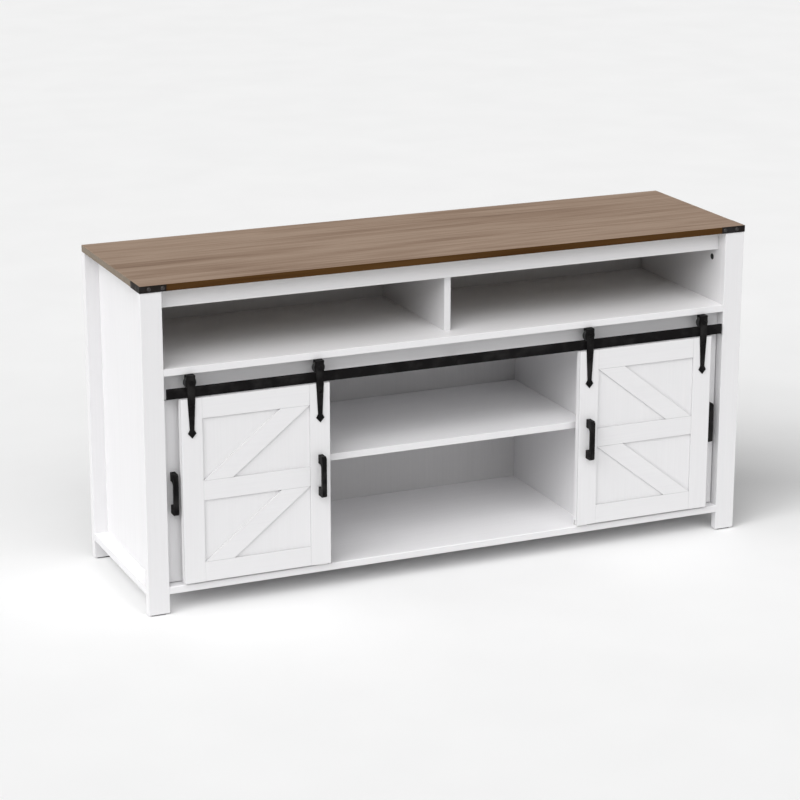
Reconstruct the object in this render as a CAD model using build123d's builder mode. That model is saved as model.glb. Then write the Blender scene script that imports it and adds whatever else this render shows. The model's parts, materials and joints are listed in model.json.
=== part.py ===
from build123d import *
import os

"""TV stand: two sliding barn doors in front of an open centre bay and two side cupboards.

Millimetres. +Z is up, the front faces -Y, and the origin is at the middle of the footprint, on
the floor. A depth is measured backwards from the front faces of the legs, at y = FRONT. Widths
are distances from the middle, and side is -1 on the left and 1 on the right.
"""

# Overall
WIDTH = 1500.0
CARCASS_DEPTH = 430.0
HEIGHT = 760.0
PULL_REACH = 34.0                      # how far the barn doors' pulls stand in front of the legs
FRONT = -(CARCASS_DEPTH + PULL_REACH) / 2 + PULL_REACH

# Boards
BOARD = 16.0
BACK_SHEET = 3.0
LEG_WIDTH = 49.0
LEG_DEPTH = 20.0
GLIDE = 3.0
ARRIS = 0.8                            # rounding of the board edges

# Heights
BOTTOM_LOW = 48.0
BOTTOM_TOP = BOTTOM_LOW + BOARD
TOP_LOW = HEIGHT - BOARD
SHELF_LOW = 553.0
SHELF_TOP = SHELF_LOW + BOARD
FASCIA_LOW = 699.0
APRON_LOW = 493.0
CENTRE_SHELF_LOW = 302.0

# Widths
LEG_INNER = WIDTH / 2 - LEG_WIDTH
PARTITION_INNER = 350.0
PARTITION_OUTER = PARTITION_INNER + BOARD
SHELF_PLAY = 0.5

# Depths
REAR_LEG_FACE = CARCASS_DEPTH - LEG_DEPTH
SHEET_FACE = REAR_LEG_FACE - BACK_SHEET
FASCIA_FACE = 34.0
INNER_FACE = 25.0                      # apron, partitions and inner doors
INNER_BACK = INNER_FACE + BOARD

# Fastenings
RUNNING = 0.05                         # clearance of a pin or screw in its hole
BRACKET_ARM = 60.0
BRACKET_SHEET = 1.5
BRACKET_MARGIN = 0.5
BRACKET_NAIL_SPOTS = (20.5, 52.0)
BRACKET_NAIL_HEAD = 4.8
BRACKET_NAIL_DOME = 2.2
BRACKET_NAIL_SHANK = 0.9
BACK_NAIL_HEAD = 2.5
BACK_NAIL_SHANK = 0.8
CAM_RADIUS = 7.5
CAM_THICKNESS = 12.0
CAM_INSET = 41.0                       # behind the side panel's front edge
CAM_HEIGHTS = (120.0, 420.0, 675.0)
CAM_BOLT = 3.0
CAM_BOLT_IN_LEG = 12.0
LEG_SCREW_HEIGHTS = (150.0, 400.0, 650.0)
LEG_SCREW_LENGTH = 42.0
PIN_RADIUS = 2.5
PIN_IN = 10.0
PIN_OUT = 8.0
PIN_DEPTHS = (80.0, 360.0)

# Rail and rollers
RAIL_LOW = 500.0
RAIL_HIGH = 524.0
RAIL_FACE = -3.0
RAIL_THICKNESS = 4.0
RAIL_HALF = 697.0
RAIL_BOLT_SPOTS = (-680.0, -340.0, 0.0, 340.0, 680.0)
RAIL_BOLT_LENGTH = 41.0
SPACER_RADIUS = 4.0
ROLLER_TREAD = 10.0
ROLLER_FLANGE = 14.2
ROLLER_WIDTH = 9.0
ROLLER_GROOVE = 5.0
ROLLER_LIFT = 0.3
ROLLER_Z = RAIL_HIGH + ROLLER_TREAD + ROLLER_LIFT
ROLLER_FACE = RAIL_FACE + (RAIL_THICKNESS - ROLLER_WIDTH) / 2
AXLE_RADIUS = 4.0
AXLE_HEAD = 5.5
AXLE_HEAD_HIGH = 1.6

# Barn doors
DOOR_INNER = 315.0
DOOR_OUTER = 667.0
DOOR_LOW = 69.3
DOOR_HIGH = 498.5
DOOR_FACE = -9.0
BATTEN_BACK = -5.0
DOOR_BACK = 9.0
STILE = 49.0
STILE_INNER = DOOR_INNER + STILE
STILE_OUTER = DOOR_OUTER - STILE
DOOR_RAILS = ((DOOR_LOW, 115.3), (260.0, 306.0), (450.7, DOOR_HIGH))
BRACE_CUT = 70.0                       # the brace's ends, measured along the rails
JOINT_ARRIS = 0.8
DOOR_ARRIS = 2.0
GROOVE_FACE = 0.0
GROOVE_WIDTH = 6.0
GROOVE_HEIGHT = 10.0
GUIDE_X = 334.0
GUIDE_PLATE = 2.0

# Hangers: straps, drawn as half widths at heights, and the roller brackets behind them
HANGER_TOP = 551.5
HANGER_HALF = 10.0
STRAP = 2.5
STRAP_FACE = DOOR_FACE - STRAP
STRAP_OUTLINE = ((HANGER_HALF, HANGER_TOP), (8.8, 497.0), (5.2, 427.5), (9.7, 419.0), (0.0, 408.0))
STRAP_BOLT_Z = 480.0
STRAP_BOLT_RADIUS = 2.5
STRAP_INSET = STILE / 2
YOKE_SHEET = 2.0
YOKE_LOW = RAIL_HIGH + 2
YOKE_BACK = ROLLER_FACE + ROLLER_WIDTH + ROLLER_LIFT + YOKE_SHEET

# Pulls
PULL_SPACING = 76.0
PULL_FOOT = 20.0
PULL_WIDTH = 11.0
PULL_OUT = 25.0
PULL_GRIP = 8.0
PULL_BEVEL = 4.0
PULL_INNER_BEVEL = 5.0
PULL_SCREW = 2.0
PULL_SCREW_HEAD = 4.0
PULL_SCREW_BITE = 10.0
BARN_PULL_Z = 284.0
INNER_PULL_Z = 277.0
INNER_PULL_X = 679.0

# Inner doors and their hinges
INNER_DOOR_NEAR = PARTITION_OUTER + 2
INNER_DOOR_FAR = LEG_INNER - 2
INNER_DOOR_LOW = BOTTOM_TOP + 2
INNER_DOOR_HIGH = APRON_LOW - 2
CUP_RADIUS = 17.4
CUP_DEPTH = 11.5
CUP_WALL = 1.5
CUP_X = INNER_DOOR_NEAR + 22
CUP_WING = 1.2
HINGE_HEIGHTS = (146.0, 405.0)
HINGE_ARM_WIDTH = 18.0

SIDES = {"left": -1, "right": 1}
TO_FRONT = (0, -1, 0)
TO_REAR = (0, 1, 0)

os.makedirs("parts", exist_ok=True)


def save(made, name):
    """Label a finished sub-part and write its STEP file."""
    made.part.label = name
    export_step(made.part, f"parts/{name}.step")


def back(depth):
    """The y of a place this far behind the legs' front faces."""
    return FRONT + depth


def facing(depth):
    """An upright plane facing the front, with X across and Z up."""
    return Plane(origin=(0, back(depth), 0), x_dir=(1, 0, 0), z_dir=TO_FRONT)


def beside(x, depth=0, z=0):
    """An upright plane facing -X, with -Y across and Z up."""
    return Plane(origin=(x, back(depth), z), x_dir=TO_FRONT, z_dir=(-1, 0, 0))


def at(x, depth, z, out):
    """A plane at a point, facing along a direction."""
    return Plane(origin=(x, back(depth), z), z_dir=out)


def span(side, near, far):
    """Low and high X between two distances from the middle."""
    return tuple(sorted((side * near, side * far)))


def middle(low_high):
    """The middle of a range."""
    return sum(low_high) / 2


def size(low_high):
    """The length of a range."""
    return low_high[1] - low_high[0]


def board(x, depth, z, arris=ARRIS):
    """A board filling ranges of X, depth and Z, with every edge rounded."""
    with BuildPart() as made:
        with BuildSketch(Plane.XY.offset(z[0])):
            with Locations((middle(x), back(middle(depth)))):
                Rectangle(size(x), size(depth))
        extrude(amount=size(z))
        fillet(made.edges(), radius=arris)
    return made


def repeat(shape, planes):
    """Separate copies of one solid, one on each plane."""
    with BuildPart() as group:
        with Locations(*[Location(plane) for plane in planes]):
            add(shape)
    return group


def drill(planes, radius, depth):
    """Blind round holes in the part being built, each going in behind its plane."""
    for plane in planes:
        with BuildSketch(plane) as mouth:
            Circle(radius)
        extrude(mouth.sketch, amount=-depth, mode=Mode.SUBTRACT)


def countersink(planes, radius, head):
    """90 degree countersinks in the part being built, on holes of the same planes."""
    for plane in planes:
        with Locations(Location(plane)):
            Cone(
                radius,
                head,
                head - radius,
                align=(Align.CENTER, Align.CENTER, Align.MAX),
                mode=Mode.SUBTRACT,
            )


def flat_screw(radius, head, length):
    """A countersunk screw pointing down its own -Z, with a cross recess in its head."""
    with BuildPart() as made:
        Cone(radius, head, head - radius, align=(Align.CENTER, Align.CENTER, Align.MAX))
        Cylinder(radius, length, align=(Align.CENTER, Align.CENTER, Align.MAX))
        with BuildSketch(Plane.XY):
            Rectangle(head, head / 4)
            Rectangle(head / 4, head)
        extrude(amount=-head / 3, mode=Mode.SUBTRACT)
    return made


def round_screw(radius, head, length):
    """A round-headed screw pointing down its own -Z from under its head."""
    with BuildPart() as made:
        Cylinder(head, head * 0.55, align=(Align.CENTER, Align.CENTER, Align.MIN))
        fillet(made.edges().group_by(Axis.Z)[-1], radius=head * 0.45)
        with BuildSketch(Plane.XY.offset(head * 0.55)):
            RegularPolygon(head * 0.4, 6)
        extrude(amount=-head * 0.25, mode=Mode.SUBTRACT)
        Cylinder(radius, length, align=(Align.CENTER, Align.CENTER, Align.MAX))
    return made


# ------------------------------------------------------------------ top and corner brackets
TOP_MIDDLE = (TOP_LOW + HEIGHT) / 2


def bracket_nail_planes(side):
    """Where the nails sit on the outer faces of one bracket's two arms."""
    outer = side * (WIDTH / 2 + BRACKET_SHEET)
    front_arm = [
        at(side * (WIDTH / 2 - spot), -BRACKET_SHEET, TOP_MIDDLE, TO_FRONT)
        for spot in BRACKET_NAIL_SPOTS
    ]
    side_arm = [at(outer, spot, TOP_MIDDLE, (side, 0, 0)) for spot in BRACKET_NAIL_SPOTS]
    return front_arm + side_arm


def corner_bracket(side):
    """Sheet-steel angle round a front corner of the top."""
    outer = side * (WIDTH / 2 + BRACKET_SHEET)
    arm_end = side * (WIDTH / 2 - BRACKET_ARM)
    inner = side * WIDTH / 2
    with BuildPart() as made:
        with BuildSketch(Plane.XY.offset(TOP_LOW + BRACKET_MARGIN)):
            with BuildLine():
                Polyline(
                    (outer, back(-BRACKET_SHEET)),
                    (arm_end, back(-BRACKET_SHEET)),
                    (arm_end, back(0)),
                    (inner, back(0)),
                    (inner, back(BRACKET_ARM)),
                    (outer, back(BRACKET_ARM)),
                    close=True,
                )
            make_face()
        extrude(amount=BOARD - 2 * BRACKET_MARGIN)
        fold = made.edges().filter_by(Axis.Z).sort_by_distance((outer, back(-BRACKET_SHEET), HEIGHT))
        fillet(fold[0], radius=BRACKET_SHEET * 0.8)
        drill(bracket_nail_planes(side), BRACKET_NAIL_SHANK + RUNNING, BRACKET_SHEET)
    return made


save(board((-WIDTH / 2, WIDTH / 2), (0, CARCASS_DEPTH), (TOP_LOW, HEIGHT)), "top_panel")
for name, side in SIDES.items():
    save(corner_bracket(side), f"corner_bracket_{name}")

with BuildPart() as bracket_nail:
    with BuildSketch(Plane.XZ):
        with BuildLine():
            Line((0, 0), (0, BRACKET_NAIL_DOME))
            TangentArc((0, BRACKET_NAIL_DOME), (BRACKET_NAIL_HEAD, 0), tangent=(1, 0))
            Line((BRACKET_NAIL_HEAD, 0), (0, 0))
        make_face()
    revolve(axis=Axis.Z)
    Cylinder(BRACKET_NAIL_SHANK, 12, align=(Align.CENTER, Align.CENTER, Align.MAX))
nail_planes = [plane for side in SIDES.values() for plane in bracket_nail_planes(side)]
save(repeat(bracket_nail.part, nail_planes), "bracket_nails")


# ------------------------------------------------------------------ legs, glides, side panels
PANEL_MIDDLE = LEG_INNER + BOARD / 2


def cam_bolt_planes(side):
    """Where the cam bolts cross from a front leg into a side panel, facing the front."""
    return [at(side * PANEL_MIDDLE, LEG_DEPTH, z, TO_FRONT) for z in CAM_HEIGHTS]


def cam_planes(side):
    """Where the cams sit in a side panel's inner face, facing the middle."""
    return [at(side * LEG_INNER, LEG_DEPTH + CAM_INSET, z, (-side, 0, 0)) for z in CAM_HEIGHTS]


def leg_screw_planes(side):
    """Where the screws go in through a rear leg, facing the rear."""
    return [at(side * PANEL_MIDDLE, CARCASS_DEPTH, z, TO_REAR) for z in LEG_SCREW_HEIGHTS]


for name, side in SIDES.items():
    leg_x = span(side, LEG_INNER, WIDTH / 2)
    front_leg = board(leg_x, (0, LEG_DEPTH), (GLIDE, TOP_LOW))
    with front_leg:
        into_leg = [Plane(p.origin, z_dir=TO_REAR) for p in cam_bolt_planes(side)]
        drill(into_leg, CAM_BOLT + RUNNING, CAM_BOLT_IN_LEG + 0.5)
    save(front_leg, f"leg_front_{name}")

    rear_leg = board(leg_x, (REAR_LEG_FACE, CARCASS_DEPTH), (GLIDE, TOP_LOW))
    with rear_leg:
        drill(leg_screw_planes(side), PULL_SCREW + RUNNING, LEG_DEPTH)
        countersink(leg_screw_planes(side), PULL_SCREW + RUNNING, PULL_SCREW_HEAD + RUNNING)
    save(rear_leg, f"leg_rear_{name}")

    side_panel = board(
        span(side, LEG_INNER, LEG_INNER + BOARD),
        (LEG_DEPTH, REAR_LEG_FACE),
        (BOTTOM_TOP, TOP_LOW),
    )
    with side_panel:
        drill(cam_planes(side), CAM_RADIUS + RUNNING, CAM_THICKNESS)
        drill(cam_bolt_planes(side), CAM_BOLT + RUNNING, CAM_INSET - CAM_RADIUS)
        drill(leg_screw_planes(side), PULL_SCREW + RUNNING, LEG_SCREW_LENGTH + 0.5)
    save(side_panel, f"side_panel_{name}")

with BuildPart() as cam:
    Cylinder(CAM_RADIUS, CAM_THICKNESS, align=(Align.CENTER, Align.CENTER, Align.MAX))
    fillet(cam.edges().group_by(Axis.Z)[-1], radius=0.5)
    with BuildSketch(Plane.XY):
        Rectangle(9, 1.6)
        Rectangle(1.6, 9)
    extrude(amount=-2.5, mode=Mode.SUBTRACT)
save(repeat(cam.part, [p for side in SIDES.values() for p in cam_planes(side)]), "cam_locks")

with BuildPart() as cam_bolt:
    Cylinder(CAM_BOLT, CAM_BOLT_IN_LEG, align=(Align.CENTER, Align.CENTER, Align.MIN))
    in_panel = CAM_INSET - CAM_RADIUS - 0.5
    Cylinder(CAM_BOLT, in_panel, align=(Align.CENTER, Align.CENTER, Align.MAX))
save(repeat(cam_bolt.part, [p for side in SIDES.values() for p in cam_bolt_planes(side)]), "cam_bolts")

leg_screw = flat_screw(PULL_SCREW, PULL_SCREW_HEAD, LEG_SCREW_LENGTH)
save(repeat(leg_screw.part, [p for side in SIDES.values() for p in leg_screw_planes(side)]), "leg_screws")

with BuildPart() as foot_glides:
    with BuildSketch():
        with Locations((0, back(CARCASS_DEPTH / 2))):
            with GridLocations(WIDTH - LEG_WIDTH, CARCASS_DEPTH - LEG_DEPTH, 2, 2):
                RectangleRounded(36, 14, 4)
    extrude(amount=GLIDE)
    chamfer(foot_glides.edges().group_by(Axis.Z)[0], length=0.8)
save(foot_glides, "foot_glides")


# ------------------------------------------------------------------ boards of the carcass
with BuildPart() as bottom_panel:
    with BuildSketch(Plane.XY.offset(BOTTOM_LOW)):
        with Locations((0, back(CARCASS_DEPTH / 2))):
            Rectangle(WIDTH, CARCASS_DEPTH)
            with GridLocations(WIDTH - LEG_WIDTH, CARCASS_DEPTH - LEG_DEPTH, 2, 2):
                Rectangle(LEG_WIDTH, LEG_DEPTH, mode=Mode.SUBTRACT)
    extrude(amount=BOARD)
    front_edges = bottom_panel.edges().filter_by(Axis.X).group_by(Axis.Y)[0]
    fillet(front_edges.sort_by(Axis.Z)[-1], radius=2.5)
save(bottom_panel, "bottom_panel")

inside = (-LEG_INNER, LEG_INNER)
save(board(inside, (0, SHEET_FACE), (SHELF_LOW, SHELF_TOP)), "upper_shelf")
divider_x = (-BOARD / 2, BOARD / 2)
save(board(divider_x, (FASCIA_FACE + BOARD, SHEET_FACE), (SHELF_TOP, TOP_LOW)), "upper_divider")
save(board(inside, (FASCIA_FACE, FASCIA_FACE + BOARD), (FASCIA_LOW, TOP_LOW)), "top_fascia")

apron = board(inside, (INNER_FACE, INNER_BACK), (APRON_LOW, SHELF_LOW))
RAIL_Z = (RAIL_LOW + RAIL_HIGH) / 2
apron_bolt_planes = [at(x, INNER_FACE, RAIL_Z, TO_FRONT) for x in RAIL_BOLT_SPOTS]
rail_bolt_planes = [at(x, RAIL_FACE, RAIL_Z, TO_FRONT) for x in RAIL_BOLT_SPOTS]
bolt_in_apron = RAIL_BOLT_LENGTH - (INNER_FACE - RAIL_FACE)
with apron:
    drill(apron_bolt_planes, STRAP_BOLT_RADIUS + RUNNING, bolt_in_apron + 0.5)
save(apron, "shelf_apron")


def pin_planes(side):
    """Where the shelf pins enter a partition's inner face, facing the middle."""
    low = CENTRE_SHELF_LOW - PIN_RADIUS
    return [at(side * PARTITION_INNER, depth, low, (-side, 0, 0)) for depth in PIN_DEPTHS]


for name, side in SIDES.items():
    with BuildPart() as partition:
        with BuildSketch(beside(max(span(side, PARTITION_INNER, PARTITION_OUTER)))):
            with BuildLine():
                Polyline(
                    (-INNER_FACE, BOTTOM_TOP),
                    (-SHEET_FACE, BOTTOM_TOP),
                    (-SHEET_FACE, SHELF_LOW),
                    (-INNER_BACK, SHELF_LOW),
                    (-INNER_BACK, APRON_LOW),
                    (-INNER_FACE, APRON_LOW),
                    close=True,
                )
            make_face()
        extrude(amount=BOARD)
        fillet(partition.edges().filter_by(Axis.Z).group_by(Axis.Y)[0], radius=ARRIS)
        drill(pin_planes(side), PIN_RADIUS + RUNNING, PIN_IN + 0.5)
    save(partition, f"partition_{name}")

shelf_half = PARTITION_INNER - SHELF_PLAY
save(
    board(
        (-shelf_half, shelf_half),
        (INNER_FACE, SHEET_FACE - 2),
        (CENTRE_SHELF_LOW, CENTRE_SHELF_LOW + BOARD),
    ),
    "centre_shelf",
)
with BuildPart() as shelf_pin:
    Cylinder(PIN_RADIUS, PIN_OUT, align=(Align.CENTER, Align.CENTER, Align.MIN))
    Cylinder(PIN_RADIUS, PIN_IN, align=(Align.CENTER, Align.CENTER, Align.MAX))
save(repeat(shelf_pin.part, [p for side in SIDES.values() for p in pin_planes(side)]), "shelf_pins")


# ------------------------------------------------------------------ back sheet and its nails
save(board(inside, (SHEET_FACE, REAR_LEG_FACE), (BOTTOM_TOP, TOP_LOW), arris=0.3), "back_panel")

shelf_nails = [(x, SHELF_LOW + BOARD / 2) for x in range(-640, 641, 160)]
divider_nails = [(0, z) for z in (610.0, 700.0)]
partition_nails = [
    (side * (PARTITION_INNER + BOARD / 2), z)
    for side in SIDES.values()
    for z in (90.0, 200.0, 310.0, 420.0, 520.0)
]
back_nail_spots = shelf_nails + divider_nails + partition_nails
with BuildPart() as back_nail:
    Cylinder(BACK_NAIL_HEAD, 0.8, align=(Align.CENTER, Align.CENTER, Align.MIN))
    fillet(back_nail.edges().group_by(Axis.Z)[-1], radius=0.4)
    Cylinder(BACK_NAIL_SHANK, 20, align=(Align.CENTER, Align.CENTER, Align.MAX))
back_nail_planes = [at(x, REAR_LEG_FACE, z, TO_REAR) for x, z in back_nail_spots]
save(repeat(back_nail.part, back_nail_planes), "back_panel_nails")


# ------------------------------------------------------------------ rail
BOLT_HEAD = 2 * STRAP_BOLT_RADIUS
rail = board(
    (-RAIL_HALF, RAIL_HALF),
    (RAIL_FACE, RAIL_FACE + RAIL_THICKNESS),
    (RAIL_LOW, RAIL_HIGH),
)
with rail:
    drill(rail_bolt_planes, STRAP_BOLT_RADIUS + RUNNING, RAIL_THICKNESS)
    countersink(rail_bolt_planes, STRAP_BOLT_RADIUS + RUNNING, BOLT_HEAD + RUNNING)
save(rail, "door_rail")
rail_bolt = flat_screw(STRAP_BOLT_RADIUS, BOLT_HEAD, RAIL_BOLT_LENGTH)
save(repeat(rail_bolt.part, rail_bolt_planes), "rail_bolts")
spacer_planes = [at(x, RAIL_FACE + RAIL_THICKNESS, RAIL_Z, TO_REAR) for x in RAIL_BOLT_SPOTS]
with BuildPart() as spacer:
    with BuildSketch():
        Circle(SPACER_RADIUS)
        Circle(STRAP_BOLT_RADIUS + RUNNING, mode=Mode.SUBTRACT)
    extrude(amount=INNER_FACE - RAIL_FACE - RAIL_THICKNESS)
save(repeat(spacer.part, spacer_planes), "rail_spacers")

with BuildPart() as door_guides:
    with BuildSketch(Plane.XY.offset(BOTTOM_TOP)):
        with Locations((-GUIDE_X, back(10.5)), (GUIDE_X, back(10.5))):
            RectangleRounded(30, 19, 3)
    extrude(amount=GUIDE_PLATE)
    with BuildSketch(Plane.XY.offset(BOTTOM_TOP)):
        groove_middle = back(GROOVE_FACE + GROOVE_WIDTH / 2)
        with Locations((-GUIDE_X, groove_middle), (GUIDE_X, groove_middle)):
            SlotOverall(30, 4)
    extrude(amount=DOOR_LOW + GROOVE_HEIGHT - 2 - BOTTOM_TOP)
save(door_guides, "door_guides")


# ------------------------------------------------------------------ pulls
PULL_ENDS = (-PULL_SPACING / 2, PULL_SPACING / 2)


def pull(x, depth, z):
    """A bar pull standing on a face at this depth, with its corners cut and its edges eased."""
    half = (PULL_SPACING + PULL_FOOT) / 2
    finger = (PULL_SPACING - PULL_FOOT) / 2
    reach = PULL_OUT - PULL_GRIP
    with BuildPart() as made:
        with BuildSketch(beside(x + PULL_WIDTH / 2, depth, z)):
            with BuildLine():
                Polyline(
                    (0, -half),
                    (PULL_OUT - PULL_BEVEL, -half),
                    (PULL_OUT, -half + PULL_BEVEL),
                    (PULL_OUT, half - PULL_BEVEL),
                    (PULL_OUT - PULL_BEVEL, half),
                    (0, half),
                    (0, finger),
                    (reach - PULL_INNER_BEVEL, finger),
                    (reach, finger - PULL_INNER_BEVEL),
                    (reach, -finger + PULL_INNER_BEVEL),
                    (reach - PULL_INNER_BEVEL, -finger),
                    (0, -finger),
                    close=True,
                )
            make_face()
        extrude(amount=PULL_WIDTH)
        standing = made.edges().filter_by(lambda edge: edge.center().Y < back(depth) - 0.01)
        fillet(standing.filter_by(Axis.X), radius=1.0)
        drill(pull_screw_planes(x, depth, z), PULL_SCREW + RUNNING, PULL_SCREW_BITE + 0.5)
    return made


def pull_screw_planes(x, depth, z):
    """Planes facing the rear where a pull's two screws cross this depth."""
    return [at(x, depth, z + end, TO_REAR) for end in PULL_ENDS]


# ------------------------------------------------------------------ barn doors
def battens(outlines):
    """Flat pieces on a barn door's face, one for each outline of X and Z points."""
    with BuildPart() as made:
        for outline in outlines:
            with BuildSketch(facing(DOOR_FACE)):
                with BuildLine():
                    Polyline(*outline, close=True)
                make_face()
            extrude(amount=DOOR_FACE - BATTEN_BACK)
    return made


def upright(x, z):
    """A rectangle's corners from its ranges."""
    return [(x[0], z[0]), (x[1], z[0]), (x[1], z[1]), (x[0], z[1])]


def front_edges_of(made):
    """The edges round the front faces of the part being built."""
    return made.faces().filter_by(Axis.Y).group_by(Axis.Y)[0].edges()


def barn_door(name, side):
    """Every piece of one sliding door but its rollers."""
    inner_stile_x = side * (DOOR_INNER + STRAP_INSET)
    outer_stile_x = side * (DOOR_OUTER - STRAP_INSET)
    hanger_spots = (inner_stile_x, outer_stile_x)
    barn_pull_back = pull_screw_planes(inner_stile_x, DOOR_BACK, BARN_PULL_Z)
    hanger_bolt_planes = [at(x, STRAP_FACE, STRAP_BOLT_Z, TO_FRONT) for x in hanger_spots]
    bolt_in_door = 14.0
    groove_y = back(GROOVE_FACE + GROOVE_WIDTH / 2)

    panel = board(
        span(side, DOOR_INNER, DOOR_OUTER),
        (BATTEN_BACK, DOOR_BACK),
        (DOOR_LOW, DOOR_HIGH),
    )
    with panel:
        with BuildSketch(Plane.XY.offset(DOOR_LOW)) as groove:
            with Locations((side * (DOOR_INNER + DOOR_OUTER) / 2, groove_y)):
                Rectangle(DOOR_OUTER - DOOR_INNER, GROOVE_WIDTH)
        extrude(groove.sketch, amount=GROOVE_HEIGHT, mode=Mode.SUBTRACT)
        drill(barn_pull_back, PULL_SCREW + RUNNING, DOOR_BACK - BATTEN_BACK)
        countersink(barn_pull_back, PULL_SCREW + RUNNING, PULL_SCREW_HEAD + RUNNING)
        drill(hanger_bolt_planes, STRAP_BOLT_RADIUS + RUNNING, STRAP + bolt_in_door + 0.5)
    save(panel, f"door_{name}_panel")

    stile_spans = (span(side, DOOR_INNER, STILE_INNER), span(side, STILE_OUTER, DOOR_OUTER))
    stiles = battens([upright(x, (DOOR_LOW, DOOR_HIGH)) for x in stile_spans])
    with stiles:
        uprights = front_edges_of(stiles).filter_by(Axis.Z).sort_by(Axis.X)
        fillet([uprights[0], uprights[-1]], radius=DOOR_ARRIS)
        drill(barn_pull_back, PULL_SCREW + RUNNING, DOOR_BACK - DOOR_FACE)
        drill(hanger_bolt_planes, STRAP_BOLT_RADIUS + RUNNING, STRAP - DOOR_FACE)
    save(stiles, f"door_{name}_stiles")

    rail_x = span(side, STILE_INNER, STILE_OUTER)
    rails = battens([upright(rail_x, z) for z in DOOR_RAILS])
    with rails:
        fillet(front_edges_of(rails), radius=JOINT_ARRIS)
    save(rails, f"door_{name}_rails")

    near = side * STILE_INNER
    far = side * STILE_OUTER
    cut = side * BRACE_CUT
    panel_heights = [(low[1], high[0]) for low, high in zip(DOOR_RAILS, DOOR_RAILS[1:])]
    braces = battens(
        [
            [(far, low), (far - cut, low), (near, high), (near + cut, high)]
            for low, high in panel_heights
        ]
    )
    with braces:
        fillet(front_edges_of(braces), radius=JOINT_ARRIS)
    save(braces, f"door_{name}_braces")

    save(pull(inner_stile_x, DOOR_FACE, BARN_PULL_Z), f"door_{name}_handle")
    screw_length = DOOR_BACK - DOOR_FACE + PULL_SCREW_BITE
    pull_screw = flat_screw(PULL_SCREW, PULL_SCREW_HEAD, screw_length)
    save(repeat(pull_screw.part, barn_pull_back), f"door_{name}_handle_screws")

    axle_planes = [at(x, STRAP_FACE, ROLLER_Z, TO_FRONT) for x in hanger_spots]
    with BuildPart() as straps:
        for x in hanger_spots:
            with BuildSketch(facing(DOOR_FACE)):
                with BuildLine():
                    right = [(x + half, z) for half, z in STRAP_OUTLINE]
                    left = [(x - half, z) for half, z in reversed(STRAP_OUTLINE[:-1])]
                    Polyline(*right, *left, close=True)
                make_face()
            extrude(amount=STRAP)
        fillet(straps.edges().filter_by(Axis.Y).group_by(Axis.Z)[-1], radius=1.0)
        fillet(front_edges_of(straps), radius=0.4)
        drill(hanger_bolt_planes, STRAP_BOLT_RADIUS + RUNNING, STRAP)
        drill(axle_planes, AXLE_RADIUS + RUNNING, STRAP)
    save(straps, f"door_{name}_straps")

    with BuildPart() as yokes:
        for x in hanger_spots:
            with BuildSketch(beside(x + HANGER_HALF)):
                with BuildLine():
                    Polyline(
                        (-DOOR_FACE, YOKE_LOW),
                        (-DOOR_FACE, HANGER_TOP),
                        (-YOKE_BACK, HANGER_TOP),
                        (-YOKE_BACK, YOKE_LOW),
                        (-YOKE_BACK + YOKE_SHEET, YOKE_LOW),
                        (-YOKE_BACK + YOKE_SHEET, HANGER_TOP - YOKE_SHEET),
                        (-DOOR_FACE - YOKE_SHEET, HANGER_TOP - YOKE_SHEET),
                        (-DOOR_FACE - YOKE_SHEET, YOKE_LOW),
                        close=True,
                    )
                make_face()
            extrude(amount=2 * HANGER_HALF)
        rear_bends = yokes.edges().filter_by(Axis.X).group_by(Axis.Y)[-1].group_by(Axis.Z)[-1]
        fillet(rear_bends, radius=YOKE_SHEET * 0.8)
        drill(axle_planes, AXLE_RADIUS + RUNNING, YOKE_BACK - STRAP_FACE)
    save(yokes, f"door_{name}_roller_yokes")

    hanger_bolt = round_screw(STRAP_BOLT_RADIUS, 5.5, STRAP + bolt_in_door)
    save(repeat(hanger_bolt.part, hanger_bolt_planes), f"door_{name}_hanger_bolts")

    with BuildPart() as axle:
        shank = YOKE_BACK - STRAP_FACE
        shoulder_start = STRAP + YOKE_SHEET
        shoulder = ROLLER_FACE - ROLLER_LIFT - DOOR_FACE - YOKE_SHEET
        Cylinder(AXLE_HEAD, AXLE_HEAD_HIGH, align=(Align.CENTER, Align.CENTER, Align.MIN))
        fillet(axle.edges().group_by(Axis.Z)[-1], radius=AXLE_HEAD_HIGH * 0.6)
        Cylinder(AXLE_RADIUS, shank, align=(Align.CENTER, Align.CENTER, Align.MAX))
        with Locations((0, 0, -shoulder_start)):
            Cylinder(AXLE_HEAD, shoulder, align=(Align.CENTER, Align.CENTER, Align.MAX))
        with Locations((0, 0, -shank)):
            Cylinder(AXLE_HEAD, AXLE_HEAD_HIGH, align=(Align.CENTER, Align.CENTER, Align.MAX))
        fillet(axle.edges().group_by(Axis.Z)[0], radius=AXLE_HEAD_HIGH * 0.6)
    save(repeat(axle.part, axle_planes), f"door_{name}_axles")

    for place, x in zip(("inner", "outer"), hanger_spots):
        save(repeat(roller.part, [at(x, ROLLER_FACE, ROLLER_Z, TO_FRONT)]), f"roller_{name}_{place}")


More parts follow.
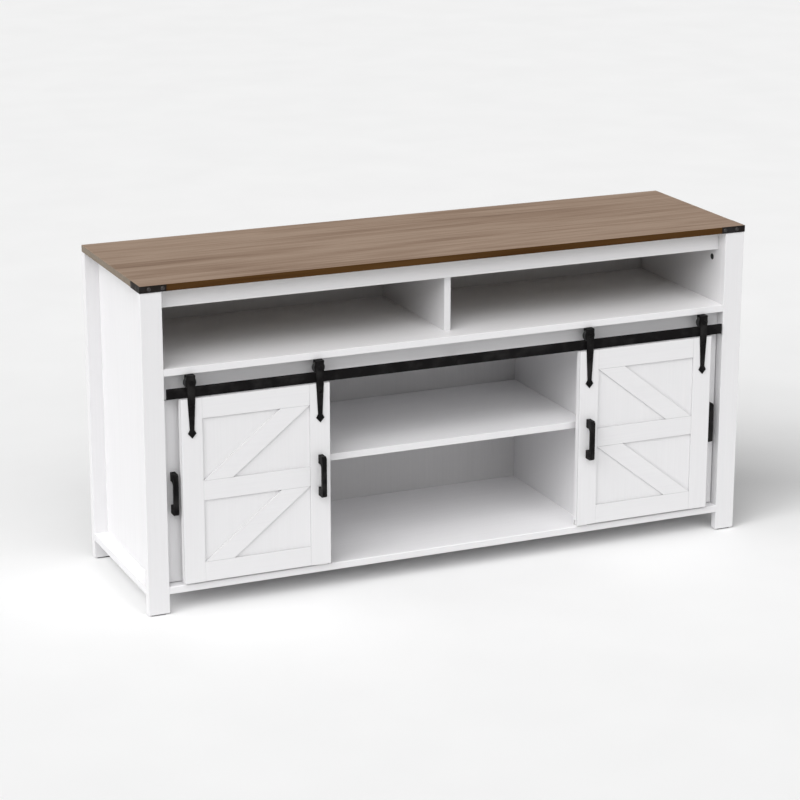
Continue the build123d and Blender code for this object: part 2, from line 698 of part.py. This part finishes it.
with BuildPart() as roller:
    with BuildSketch(Plane.XZ):
        flange = (ROLLER_WIDTH - ROLLER_GROOVE) / 2
        with BuildLine():
            Polyline(
                (AXLE_RADIUS + RUNNING, 0),
                (7.5, 0),
                (8.2, -0.7),
                (11.3, -0.7),
                (12.0, 0),
                (ROLLER_FLANGE, 0),
                (ROLLER_FLANGE, -flange),
                (ROLLER_TREAD, -flange),
                (ROLLER_TREAD, -flange - ROLLER_GROOVE),
                (ROLLER_FLANGE, -flange - ROLLER_GROOVE),
                (ROLLER_FLANGE, -ROLLER_WIDTH),
                (AXLE_RADIUS + RUNNING, -ROLLER_WIDTH),
                close=True,
            )
        make_face()
    revolve(axis=Axis.Z)
    circles = roller.edges().filter_by(GeomType.CIRCLE)
    rims = circles.filter_by(lambda edge: abs(edge.radius - ROLLER_FLANGE) < 0.01)
    chamfer(rims, length=0.6)

for name, side in SIDES.items():
    barn_door(name, side)


# ------------------------------------------------------------------ inner doors
def cup_planes(side):
    """Where the hinge cups sit in the rear face of an inner door, facing the rear."""
    return [at(side * CUP_X, INNER_BACK, z, TO_REAR) for z in HINGE_HEIGHTS]


inner_screws = []
for name, side in SIDES.items():
    inner_pull_back = pull_screw_planes(side * INNER_PULL_X, INNER_BACK, INNER_PULL_Z)
    inner_screws += inner_pull_back
    inner_door = board(
        span(side, INNER_DOOR_NEAR, INNER_DOOR_FAR),
        (INNER_FACE, INNER_BACK),
        (INNER_DOOR_LOW, INNER_DOOR_HIGH),
    )
    with inner_door:
        drill(inner_pull_back, PULL_SCREW + RUNNING, BOARD)
        countersink(inner_pull_back, PULL_SCREW + RUNNING, PULL_SCREW_HEAD + RUNNING)
        drill(cup_planes(side), CUP_RADIUS + RUNNING, CUP_DEPTH)
    save(inner_door, f"inner_door_{name}")
    save(pull(side * INNER_PULL_X, INNER_FACE, INNER_PULL_Z), f"inner_door_handle_{name}")
inner_screw = flat_screw(PULL_SCREW, PULL_SCREW_HEAD, BOARD + PULL_SCREW_BITE)
save(repeat(inner_screw.part, inner_screws), "inner_handle_screws")

with BuildPart() as cup:
    Cylinder(CUP_RADIUS, CUP_DEPTH, align=(Align.CENTER, Align.CENTER, Align.MAX))
    with BuildSketch(Plane.XY):
        Circle(CUP_RADIUS + 1.5)
        SlotOverall(58, 14, rotation=90)
    extrude(amount=CUP_WING)
    with BuildSketch(Plane.XY.offset(CUP_WING)):
        Circle(CUP_RADIUS - CUP_WALL)
    extrude(amount=-CUP_DEPTH - CUP_WING + CUP_WALL, mode=Mode.SUBTRACT)
upright_cup_planes = [
    Plane(plane.origin, x_dir=(1, 0, 0), z_dir=TO_REAR)
    for side in SIDES.values()
    for plane in cup_planes(side)
]
save(repeat(cup.part, upright_cup_planes), "hinge_cups")

CUP_FLOOR = INNER_BACK - CUP_DEPTH + CUP_WALL
ARM_OUTLINE = (                        # distance from the middle, depth
    (PARTITION_OUTER, 62.0),
    (PARTITION_OUTER, 110.0),
    (PARTITION_OUTER + 10, 110.0),
    (PARTITION_OUTER + 10, 64.0),
    (PARTITION_OUTER + 20, 52.0),
    (PARTITION_OUTER + 30, 52.0),
    (PARTITION_OUTER + 30, CUP_FLOOR),
    (PARTITION_OUTER + 25, CUP_FLOOR),
    (PARTITION_OUTER + 25, 46.0),
    (PARTITION_OUTER + 16, 46.0),
)
with BuildPart() as hinge_arms:
    for side in SIDES.values():
        for height in HINGE_HEIGHTS:
            with BuildSketch(Plane.XY.offset(height - HINGE_ARM_WIDTH / 2)):
                with BuildLine():
                    Polyline(*[(side * x, back(depth)) for x, depth in ARM_OUTLINE], close=True)
                make_face()
            extrude(amount=HINGE_ARM_WIDTH)
save(hinge_arms, "hinge_arms")
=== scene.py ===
"""Looks of the TV stand with sliding barn doors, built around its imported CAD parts."""

import json
import math

import bpy
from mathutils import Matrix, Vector


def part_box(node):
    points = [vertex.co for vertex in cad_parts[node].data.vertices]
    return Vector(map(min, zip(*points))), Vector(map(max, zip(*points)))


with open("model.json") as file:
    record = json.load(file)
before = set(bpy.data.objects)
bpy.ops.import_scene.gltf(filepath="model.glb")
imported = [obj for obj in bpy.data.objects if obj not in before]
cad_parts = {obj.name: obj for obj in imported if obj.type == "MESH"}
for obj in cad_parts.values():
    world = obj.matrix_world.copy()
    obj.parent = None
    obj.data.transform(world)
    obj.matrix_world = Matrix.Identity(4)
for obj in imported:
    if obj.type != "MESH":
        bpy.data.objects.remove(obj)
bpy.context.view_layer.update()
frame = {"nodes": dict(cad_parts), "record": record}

# Camera: place in metres, turn to the right and tilt down in degrees, lens and sensor in millimetres
CAMERA_PLACE = (-2.364, -5.300, 2.098)
CAMERA_YAW = 23.55
CAMERA_PITCH = 16.65
CAMERA_LENS = 115.0
SENSOR_WIDTH = 36.0
VIEW_REACH = 100.0                     # metres

# Lamps: the way each one shines from and its strength, with one angular size in degrees for all
LAMPS = {
    "front": ((0.0, -0.74, 0.67), 1.00),
    "front_left": ((-0.64, -0.42, 0.64), 1.92),
    "left": ((-0.77, 0.0, 0.64), 1.04),
}
LAMP_ANGLE = 50.0
SURROUNDINGS = 0.17                    # strength of the even light from all around

# Floor
FLOOR_SIZE = 60.0                      # metres
FLOOR_CELLS = 8

# Colours, linear, mostly as a darker and a lighter tone
WHITE_TONES = ((0.735, 0.730, 0.740), (0.765, 0.760, 0.770))
# Painted light: the shelves' upward faces are made lighter than the other white boards, for the light that
# falls on them from above
SHELF_TOP_PAINTED_LIGHT = (1.18, 1.18, 1.18)           # upper faces of the shelves, against the other white boards
# Painted shade: the battens' edges that don't face the front are darkened against their faces
BATTEN_EDGE_PAINTED_SHADE = (0.74, 0.74, 0.74)            # edges of the barn doors' battens, against their faces
# Back sheet: a greyer white than the boards, partly the hardboard's own colour and partly painted shade
# that darkens the deep bays
SHEET_TONES = ((0.64, 0.635, 0.64), (0.68, 0.675, 0.68))
# Walnut face tones: the wood's grain colours, partly lifted by a painted sheen above the front edge's dark
# brown
WALNUT_DARK = (0.140, 0.082, 0.050)
WALNUT_MID = (0.310, 0.208, 0.145)
WALNUT_LIGHT = (0.420, 0.305, 0.226)
WALNUT_FRONT_EDGE = ((0.050, 0.019, 0.002), (0.080, 0.036, 0.008))
# Painted sheen: the side and back edges of the top are a lighter, greyer brown than the front edge
WALNUT_SHEEN_EDGES = ((0.175, 0.138, 0.100), (0.215, 0.175, 0.130))
BLACK_TONES = ((0.0022, 0.0018, 0.0020), (0.0045, 0.0038, 0.0042))
BRACKET_TONES = ((0.006, 0.004, 0.003), (0.014, 0.010, 0.008))
NAIL_TONES = ((0.016, 0.013, 0.012), (0.032, 0.027, 0.025))
RUBBED_BLACK = (0.016, 0.015, 0.015)
ZINC_TONES = ((0.46, 0.46, 0.45), (0.62, 0.62, 0.60))
BLACK_PLASTIC_TONES = ((0.010, 0.010, 0.010), (0.018, 0.018, 0.018))
BLACK_NYLON_TONES = ((0.012, 0.012, 0.013), (0.022, 0.022, 0.023))
WHITE_PLASTIC_TONES = ((0.74, 0.74, 0.72), (0.80, 0.80, 0.78))
FLOOR_TONES = ((0.90, 0.90, 0.90), (0.92, 0.92, 0.92))

# How strongly the boards' embossed grain shows
BOARD_RELIEF = 0.04
SHEET_RELIEF = 0.015


# ------------------------------------------------------------------ node helpers
def start(name):
    """A new material, its node tree and its shader."""
    made = bpy.data.materials.new(name)
    made.use_nodes = True
    tree = made.node_tree
    return made, tree, tree.nodes["Principled BSDF"]


def evenly(scale):
    """The same noise scale on every axis, in cycles a metre."""
    return (scale, scale, scale)


def grain(axis, along, across):
    """A noise scale along one axis and another across it, in cycles a metre."""
    return tuple(along if i == axis else across for i in range(3))


def noise(tree, scale, detail=4.0, roughness=0.55, distortion=0.0):
    """A noise value in the part's own coordinates, with a scale for each axis."""
    coords = tree.nodes.new("ShaderNodeTexCoord")
    mapping = tree.nodes.new("ShaderNodeMapping")
    mapping.inputs["Scale"].default_value = scale
    tree.links.new(coords.outputs["Object"], mapping.inputs["Vector"])
    made = tree.nodes.new("ShaderNodeTexNoise")
    made.inputs["Scale"].default_value = 1.0
    made.inputs["Detail"].default_value = detail
    made.inputs["Roughness"].default_value = roughness
    made.inputs["Distortion"].default_value = distortion
    tree.links.new(mapping.outputs["Vector"], made.inputs["Vector"])
    return made.outputs["Fac"]


def ramp(tree, value, stops):
    """A colour ramp over a value, from (place, colour) stops."""
    made = tree.nodes.new("ShaderNodeValToRGB")
    band = made.color_ramp
    while len(band.elements) < len(stops):
        band.elements.new(0.5)
    for element, (where, colour) in zip(band.elements, stops):
        element.position = where
        element.color = (*colour, 1.0)
    tree.links.new(value, made.inputs["Fac"])
    return made.outputs["Color"]


def spread(tree, value, low, high, from_low=0.3, from_high=0.7):
    """A value's range stretched to run from low to high; by default a noise's middle range."""
    made = tree.nodes.new("ShaderNodeMapRange")
    made.inputs["From Min"].default_value = from_low
    made.inputs["From Max"].default_value = from_high
    made.inputs["To Min"].default_value = low
    made.inputs["To Max"].default_value = high
    tree.links.new(value, made.inputs["Value"])
    return made.outputs["Result"]


def mask_from(tree, value, from_low, from_high):
    """A mask that is 0 up to one value and 1 past the other."""
    return spread(tree, value, 0.0, 1.0, from_low, from_high)


def feed(tree, socket, value):
    """Give a socket a value: another node's output, a colour or a number."""
    if isinstance(value, bpy.types.NodeSocket):
        tree.links.new(value, socket)
    elif isinstance(value, tuple):
        socket.default_value = (*value, 1.0)
    else:
        socket.default_value = value


def mix(tree, factor, first, second, kind="MIX"):
    """Two colours blended by a factor."""
    made = tree.nodes.new("ShaderNodeMix")
    made.data_type = "RGBA"
    made.blend_type = kind
    factor_socket, first_socket, second_socket = (made.inputs[i] for i in (0, 6, 7))
    feed(tree, factor_socket, factor)
    feed(tree, first_socket, first)
    feed(tree, second_socket, second)
    return made.outputs[2]


def arithmetic(tree, operation, *values):
    """A math node over values and numbers."""
    made = tree.nodes.new("ShaderNodeMath")
    made.operation = operation
    for socket, value in zip(made.inputs, values):
        feed(tree, socket, value)
    return made.outputs[0]


def emboss(tree, shader, height, strength, depth):
    """A fine relief on the shader from a height value, with its depth in metres."""
    bump = tree.nodes.new("ShaderNodeBump")
    bump.inputs["Strength"].default_value = strength
    bump.inputs["Distance"].default_value = depth
    tree.links.new(height, bump.inputs["Height"])
    tree.links.new(bump.outputs["Normal"], shader.inputs["Normal"])


def edge_wear(tree):
    """A mask of outer edges, broken up by noise."""
    geometry = tree.nodes.new("ShaderNodeNewGeometry")
    edges = mask_from(tree, geometry.outputs["Pointiness"], 0.5, 0.56)
    patches = mask_from(tree, noise(tree, evenly(30)), 0.45, 0.65)
    return arithmetic(tree, "MULTIPLY", edges, patches)


def facing(tree, axis, low, high):
    """A mask of faces whose normal on one axis has passed from a low to a high value."""
    geometry = tree.nodes.new("ShaderNodeNewGeometry")
    parts = tree.nodes.new("ShaderNodeSeparateXYZ")
    tree.links.new(geometry.outputs["Normal"], parts.inputs["Vector"])
    return mask_from(tree, parts.outputs[axis], low, high)


def facing_up(tree):
    """A mask of the faces that point upwards."""
    return facing(tree, "Z", 0.35, 0.8)


def facing_front(tree):
    """A mask of the faces that point to the front."""
    return facing(tree, "Y", -0.35, -0.8)


def off_front(tree):
    """A mask of the faces that don't point to the front."""
    return facing(tree, "Y", -0.98, -0.7)


# ------------------------------------------------------------------ materials
def white_board(name, axis, tones=WHITE_TONES, relief=BOARD_RELIEF, mask=None, painted_light=None):
    """White laminate with an embossed open grain along one axis, and painted light or painted shade
    multiplied onto masked faces.
    """
    made, tree, shader = start(name)
    low, high = tones
    streaks = noise(tree, grain(axis, along=5, across=260), detail=6, roughness=0.6)
    figure = noise(tree, grain(axis, along=1.2, across=16), detail=3, distortion=0.6)
    tone = arithmetic(tree, "MULTIPLY_ADD", figure, 0.6, streaks)
    colour = ramp(tree, mask_from(tree, tone, 0.5, 1.1), [(0.0, low), (1.0, high)])
    if mask:
        # Painted light or shade: the masked faces' colour is scaled up or down by a factor
        colour = mix(tree, mask(tree), colour, painted_light, "MULTIPLY")
    tree.links.new(colour, shader.inputs["Base Color"])
    tree.links.new(spread(tree, streaks, 0.50, 0.38), shader.inputs["Roughness"])
    emboss(tree, shader, streaks, strength=relief, depth=0.0003)
    return made


def walnut():
    """Brown wood-look laminate for the top: the front edge shows the wood's dark brown; the upper face's
    grain tones and the other edges are lighter, partly from painted sheen.
    """
    made, tree, shader = start("walnut_top")
    fibres = noise(tree, grain(0, along=6, across=420), detail=7, roughness=0.65)
    planks = noise(tree, grain(0, along=1.1, across=11), detail=3, distortion=0.8)
    streaks = noise(tree, grain(0, along=2.4, across=75), detail=5, roughness=0.6, distortion=0.4)
    tone = arithmetic(tree, "MULTIPLY_ADD", planks, 0.9, streaks)
    face = ramp(
        tree,
        mask_from(tree, tone, 0.55, 1.30),
        [(0.0, WALNUT_DARK), (0.35, WALNUT_MID), (0.7, WALNUT_LIGHT), (1.0, WALNUT_MID)],
    )
    grained = mix(tree, spread(tree, fibres, 0.35, 0.0, 0.35, 0.55), face, WALNUT_DARK)
    streaked = mask_from(tree, streaks, 0.35, 0.7)
    front_edge = mix(tree, streaked, *WALNUT_FRONT_EDGE)
    # Painted sheen on the edges of the top that don't face the front
    sheen_edges = mix(tree, streaked, *WALNUT_SHEEN_EDGES)
    edges = mix(tree, facing_front(tree), sheen_edges, front_edge)
    is_face = facing_up(tree)
    tree.links.new(mix(tree, is_face, edges, grained), shader.inputs["Base Color"])
    tree.links.new(spread(tree, fibres, 0.52, 0.36), shader.inputs["Roughness"])
    tree.links.new(spread(tree, is_face, 0.1, 0.5, 0.0, 1.0), shader.inputs["Specular IOR Level"])
    emboss(tree, shader, fibres, strength=0.15, depth=0.0004)
    return made


def black_steel(name, gloss, tones=BLACK_TONES):
    """Satin black powder coat: a fine orange peel, with the coat rubbed on outer edges."""
    made, tree, shader = start(name)
    low, high = tones
    peel = noise(tree, evenly(900), detail=3)
    dust = noise(tree, evenly(14))
    colour = ramp(tree, dust, [(0.3, low), (0.75, high)])
    rubbed = mix(tree, edge_wear(tree), colour, RUBBED_BLACK)
    tree.links.new(rubbed, shader.inputs["Base Color"])
    tree.links.new(spread(tree, dust, 0.50, 0.62), shader.inputs["Roughness"])
    shader.inputs["Specular IOR Level"].default_value = gloss
    emboss(tree, shader, peel, strength=0.25, depth=0.0003)
    return made


def zinc():
    """Zinc-plated steel with a mottled, lightly brushed finish."""
    made, tree, shader = start("zinc_plate")
    low, high = ZINC_TONES
    mottle = noise(tree, evenly(220), detail=5)
    brushed = noise(tree, grain(2, along=2400, across=60), detail=3)
    tree.links.new(ramp(tree, mottle, [(0.3, low), (0.7, high)]), shader.inputs["Base Color"])
    tree.links.new(spread(tree, mottle, 0.28, 0.45), shader.inputs["Roughness"])
    shader.inputs["Metallic"].default_value = 1.0
    emboss(tree, shader, brushed, strength=0.1, depth=0.0002)
    return made


def plastic(name, tones, roughness):
    """Moulded plastic with a fine spark-eroded texture."""
    made, tree, shader = start(name)
    low, high = tones
    spark = noise(tree, evenly(1500))
    cloud = noise(tree, evenly(60), detail=3)
    tree.links.new(ramp(tree, cloud, [(0.3, low), (0.7, high)]), shader.inputs["Base Color"])
    tree.links.new(spread(tree, spark, roughness - 0.06, roughness + 0.06), shader.inputs["Roughness"])
    emboss(tree, shader, spark, strength=0.2, depth=0.0002)
    return made


def floor_finish():
    """Plain pale matt paint."""
    made, tree, shader = start("pale_floor")
    low, high = FLOOR_TONES
    cloud = noise(tree, evenly(3), detail=2)
    tree.links.new(ramp(tree, cloud, [(0.3, low), (0.7, high)]), shader.inputs["Base Color"])
    shader.inputs["Roughness"].default_value = 0.9
    shader.inputs["Specular IOR Level"].default_value = 0.1
    return made


# ------------------------------------------------------------------ finishes on the CAD parts
X, Y, Z = range(3)
BOARDS = [white_board(f"white_board_{name}", axis) for axis, name in enumerate("xyz")]
FINISHES = {
    "walnut": walnut(),
    "back_sheet": white_board("back_sheet", Z, SHEET_TONES, SHEET_RELIEF),
    "black_steel": black_steel("black_steel", gloss=0.10),
    "zinc": zinc(),
    "black_plastic": plastic("black_plastic", BLACK_PLASTIC_TONES, roughness=0.5),
    "black_nylon": plastic("black_nylon", BLACK_NYLON_TONES, roughness=0.38),
    "white_plastic": plastic("white_plastic", WHITE_PLASTIC_TONES, roughness=0.42),
}

# Parts that differ from the rest of their material slot
# Painted shade on the barn doors' stiles, rails and braces: edges off the front are darkened
level_battens_shaded = white_board("battens_level", X, mask=off_front, painted_light=BATTEN_EDGE_PAINTED_SHADE)
upright_battens_shaded = white_board("battens_upright", Z, mask=off_front, painted_light=BATTEN_EDGE_PAINTED_SHADE)
bracket_black = black_steel("black_brackets", gloss=0.15, tones=BRACKET_TONES)
OWN_FINISHES = {"bracket_nails": black_steel("black_nail_heads", gloss=0.5, tones=NAIL_TONES)}
# Painted light: the upper shelf, centre shelf and bottom panel get lighter upward faces
shelf_white = white_board("shelf_white", X, mask=facing_up, painted_light=SHELF_TOP_PAINTED_LIGHT)
for shelf in ("upper_shelf", "centre_shelf", "bottom_panel"):
    OWN_FINISHES[shelf] = shelf_white
for side in ("left", "right"):
    OWN_FINISHES[f"corner_bracket_{side}"] = bracket_black
    OWN_FINISHES[f"door_{side}_stiles"] = upright_battens_shaded
    OWN_FINISHES[f"door_{side}_rails"] = level_battens_shaded
    OWN_FINISHES[f"door_{side}_braces"] = level_battens_shaded


def longest_way(node):
    """The axis of a node's longest side: the way its grain runs."""
    low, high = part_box(node)
    sides = [b - a for a, b in zip(low, high)]
    return sides.index(max(sides))


def finish_for(node, slot):
    """A node's own finish, a white board with its grain the long way, or its slot's finish."""
    if node in OWN_FINISHES:
        return OWN_FINISHES[node]
    if slot == "white_board":
        return BOARDS[longest_way(node)]
    return FINISHES[slot]


for entry in frame["record"]["subparts"]:
    surfaces = frame["nodes"][entry["node"]].data.materials
    surfaces.clear()
    surfaces.append(finish_for(entry["node"], entry["material_slot"]))


# ------------------------------------------------------------------ floor, light and camera
def lay_floor():
    """A wide, flat, pale floor."""
    bpy.ops.mesh.primitive_grid_add(x_subdivisions=FLOOR_CELLS, y_subdivisions=FLOOR_CELLS, size=FLOOR_SIZE)
    made = bpy.context.object
    made.name = "floor"
    made.data.materials.append(floor_finish())


def soft_sun(name, come_from, strength):
    """A very soft distant light that shines towards the stand from a direction."""
    lamp = bpy.data.lights.new(name, "SUN")
    lamp.energy = strength
    lamp.angle = math.radians(LAMP_ANGLE)
    made = bpy.data.objects.new(name, lamp)
    made.rotation_mode = "QUATERNION"
    made.rotation_quaternion = Vector(come_from).to_track_quat("Z", "Y")
    bpy.context.scene.collection.objects.link(made)


def studio_world():
    """Dim even surroundings that show as plain white where the floor ends."""
    world = bpy.data.worlds.new("studio")
    world.use_nodes = True
    tree = world.node_tree
    background = tree.nodes["Background"]
    background.inputs["Color"].default_value = (1, 1, 1, 1)
    path = tree.nodes.new("ShaderNodeLightPath")
    seen = spread(tree, path.outputs["Is Camera Ray"], SURROUNDINGS, 1.0, 0.0, 1.0)
    tree.links.new(seen, background.inputs["Strength"])
    bpy.context.scene.world = world


def set_camera():
    """The camera, turned right of the front and tilted down by its two angles."""
    yaw = math.radians(CAMERA_YAW)
    pitch = math.radians(CAMERA_PITCH)
    level = math.cos(pitch)
    ahead = Vector((math.sin(yaw) * level, math.cos(yaw) * level, -math.sin(pitch)))
    data = bpy.data.cameras.new("camera")
    data.lens = CAMERA_LENS
    data.sensor_width = SENSOR_WIDTH
    data.clip_end = VIEW_REACH
    camera = bpy.data.objects.new("camera", data)
    camera.location = CAMERA_PLACE
    camera.rotation_mode = "QUATERNION"
    camera.rotation_quaternion = ahead.to_track_quat("-Z", "Y")
    bpy.context.scene.collection.objects.link(camera)
    bpy.context.scene.camera = camera


lay_floor()
studio_world()
for lamp_name, (come_from, strength) in LAMPS.items():
    soft_sun(lamp_name, come_from, strength)
set_camera()
bpy.context.scene.view_settings.view_transform = "Standard"
